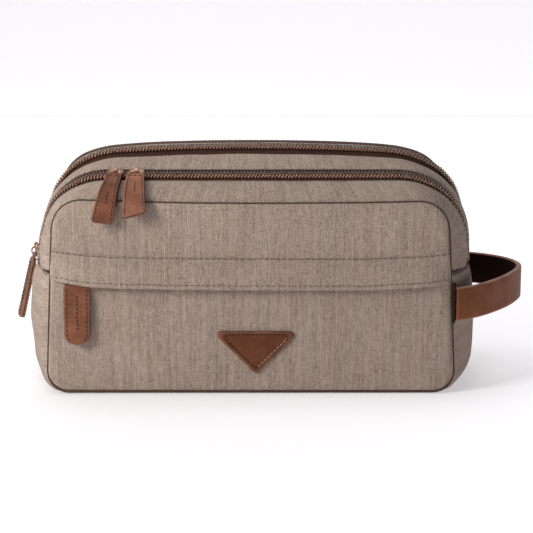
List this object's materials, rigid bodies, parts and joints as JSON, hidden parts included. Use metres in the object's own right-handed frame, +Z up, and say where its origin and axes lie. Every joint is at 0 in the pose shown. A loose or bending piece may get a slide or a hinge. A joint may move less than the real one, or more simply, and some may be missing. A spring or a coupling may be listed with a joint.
{
  "type": "wet shaving and grooming kit bag",
  "caption": "Canvas toiletry bag with a zipped front pocket under a placket, twin zipped compartments under an arched top, leather pulls and a side carry loop.",
  "frame": {"origin": "centre of the flat underside of the base", "axes": "+X to the bag's right as seen from the front, along its length, +Y to the back, +Z up"},
  "size_m": [0.3141, 0.1247, 0.1388],
  "materials": {
    "canvas": "washed plain-weave canvas with slubs",
    "lining": "plain woven lining",
    "piping": "fabric-wrapped piping cord",
    "zip_tape": "woven zipper tape",
    "zip_coil": "zipper coil with antique copper-coloured coating",
    "leather": "pull-up leather with burnished edges",
    "leather_patch": "darker leather with stitched edge",
    "metal": "antique brass plated",
    "board": "thin stiffening board"
  },
  "bodies": {
    "bag_body": {"lower_gusset": "canvas", "gusset_end_left": "canvas", "gusset_end_right": "canvas", "pocket_front": "canvas", "front_wall": "lining", "rear_panel_lower": "canvas", "middle_gusset": "canvas", "front_zip_tape_rear": "zip_tape", "front_zip_teeth_rear": "zip_coil", "rear_zip_tape_front": "zip_tape", "rear_zip_teeth_front": "zip_coil", "pocket_zip_tape_upper": "zip_tape", "pocket_zip_tape_lower": "zip_tape", "pocket_zip_teeth": "zip_coil", "front_piping_lower": "piping", "rear_piping_lower": "piping", "base_board": "board", "front_lining": "lining", "rear_lining": "lining", "compartment_divider": "lining", "triangle_patch": "leather_patch", "strap_tab_front": "canvas", "strap_tab_rear": "canvas"},
    "front_flap": {"front_gusset": "canvas", "front_panel_upper": "canvas", "front_zip_tape_front": "zip_tape", "front_zip_teeth_front": "zip_coil", "front_piping_upper": "piping"},
    "rear_flap": {"rear_gusset": "canvas", "rear_panel_upper": "canvas", "rear_zip_tape_rear": "zip_tape", "rear_zip_teeth_rear": "zip_coil", "rear_piping_upper": "piping"},
    "front_slider_left": {"front_slider_left": "metal"},
    "front_pull_left": {"front_pull_left": "leather", "front_ring_left": "metal"},
    "front_slider_right": {"front_slider_right": "metal"},
    "front_pull_right": {"front_pull_right": "leather", "front_ring_right": "metal"},
    "rear_slider": {"rear_slider": "metal"},
    "rear_pull": {"rear_pull": "leather", "rear_ring": "metal"},
    "pocket_slider": {"pocket_slider": "metal"},
    "pocket_pull": {"pocket_pull": "leather", "pocket_ring": "metal"},
    "pocket_flap": {"pocket_flap": "canvas"},
    "strap": {"strap": "leather"}
  },
  "joints": [
    {"name": "front_flap_open", "type": "hinge", "parent": "bag_body", "child": "front_flap", "pos_m": [0, -0.0561, 0.082], "axis": [1, 0, 0], "range_deg": [0, 40]},
    {"name": "rear_flap_open", "type": "hinge", "parent": "bag_body", "child": "rear_flap", "pos_m": [0, 0.0561, 0.082], "axis": [-1, 0, 0], "range_deg": [0, 40]},
    {"name": "front_slider_left_run", "type": "hinge", "parent": "front_flap", "child": "front_slider_left", "pos_m": [-0.085, -0.0265, 0.0814], "axis": [0, -1, 0], "range_deg": [0, 84]},
    {"name": "front_slider_right_run", "type": "slide", "parent": "front_flap", "child": "front_slider_right", "axis": [1, 0, 0], "range_m": [0, 0.15]},
    {"name": "rear_slider_run", "type": "hinge", "parent": "rear_flap", "child": "rear_slider", "pos_m": [-0.078, 0.0075, 0.0814], "axis": [0, 1, 0], "range_deg": [0, 88]},
    {"name": "pocket_slider_run", "type": "slide", "parent": "bag_body", "child": "pocket_slider", "axis": [1, 0, 0], "range_m": [0, 0.195]},
    {"name": "front_pull_left_swing", "type": "hinge", "parent": "front_slider_left", "child": "front_pull_left", "pos_m": [-0.082, -0.02909, 0.12787], "axis": [-0.9962, 0.0831, 0.0264], "range_deg": [0, 95]},
    {"name": "front_pull_right_swing", "type": "hinge", "parent": "front_slider_right", "child": "front_pull_right", "pos_m": [-0.068, -0.02909, 0.12787], "axis": [-0.9991, -0.038, -0.0177], "range_deg": [0, 95]},
    {"name": "rear_pull_swing", "type": "hinge", "parent": "rear_slider", "child": "rear_pull", "pos_m": [-0.13625, 0.00678, 0.07243], "axis": [-0.2451, 0.969, -0.031], "range_deg": [0, 120]},
    {"name": "pocket_pull_lift", "type": "hinge", "parent": "pocket_slider", "child": "pocket_pull", "pos_m": [-0.1008, -0.0557, 0.0735], "axis": [-1, 0, 0], "range_deg": [0, 75]},
    {"name": "pocket_flap_lift", "type": "hinge", "parent": "bag_body", "child": "pocket_flap", "pos_m": [0, -0.0547, 0.0816], "axis": [-1, 0, 0], "range_deg": [0, 64]},
    {"name": "strap_swing", "type": "hinge", "parent": "bag_body", "child": "strap", "pos_m": [0.1222, 0, 0.0545], "axis": [0, 1, 0], "range_deg": [-9, 9], "stiffness_Nm_per_rad": 0.15}
  ],
  "couplings": [
    {"joint": "pocket_flap_lift", "follows": "pocket_pull_lift", "ratio": 0.84}
  ]
}
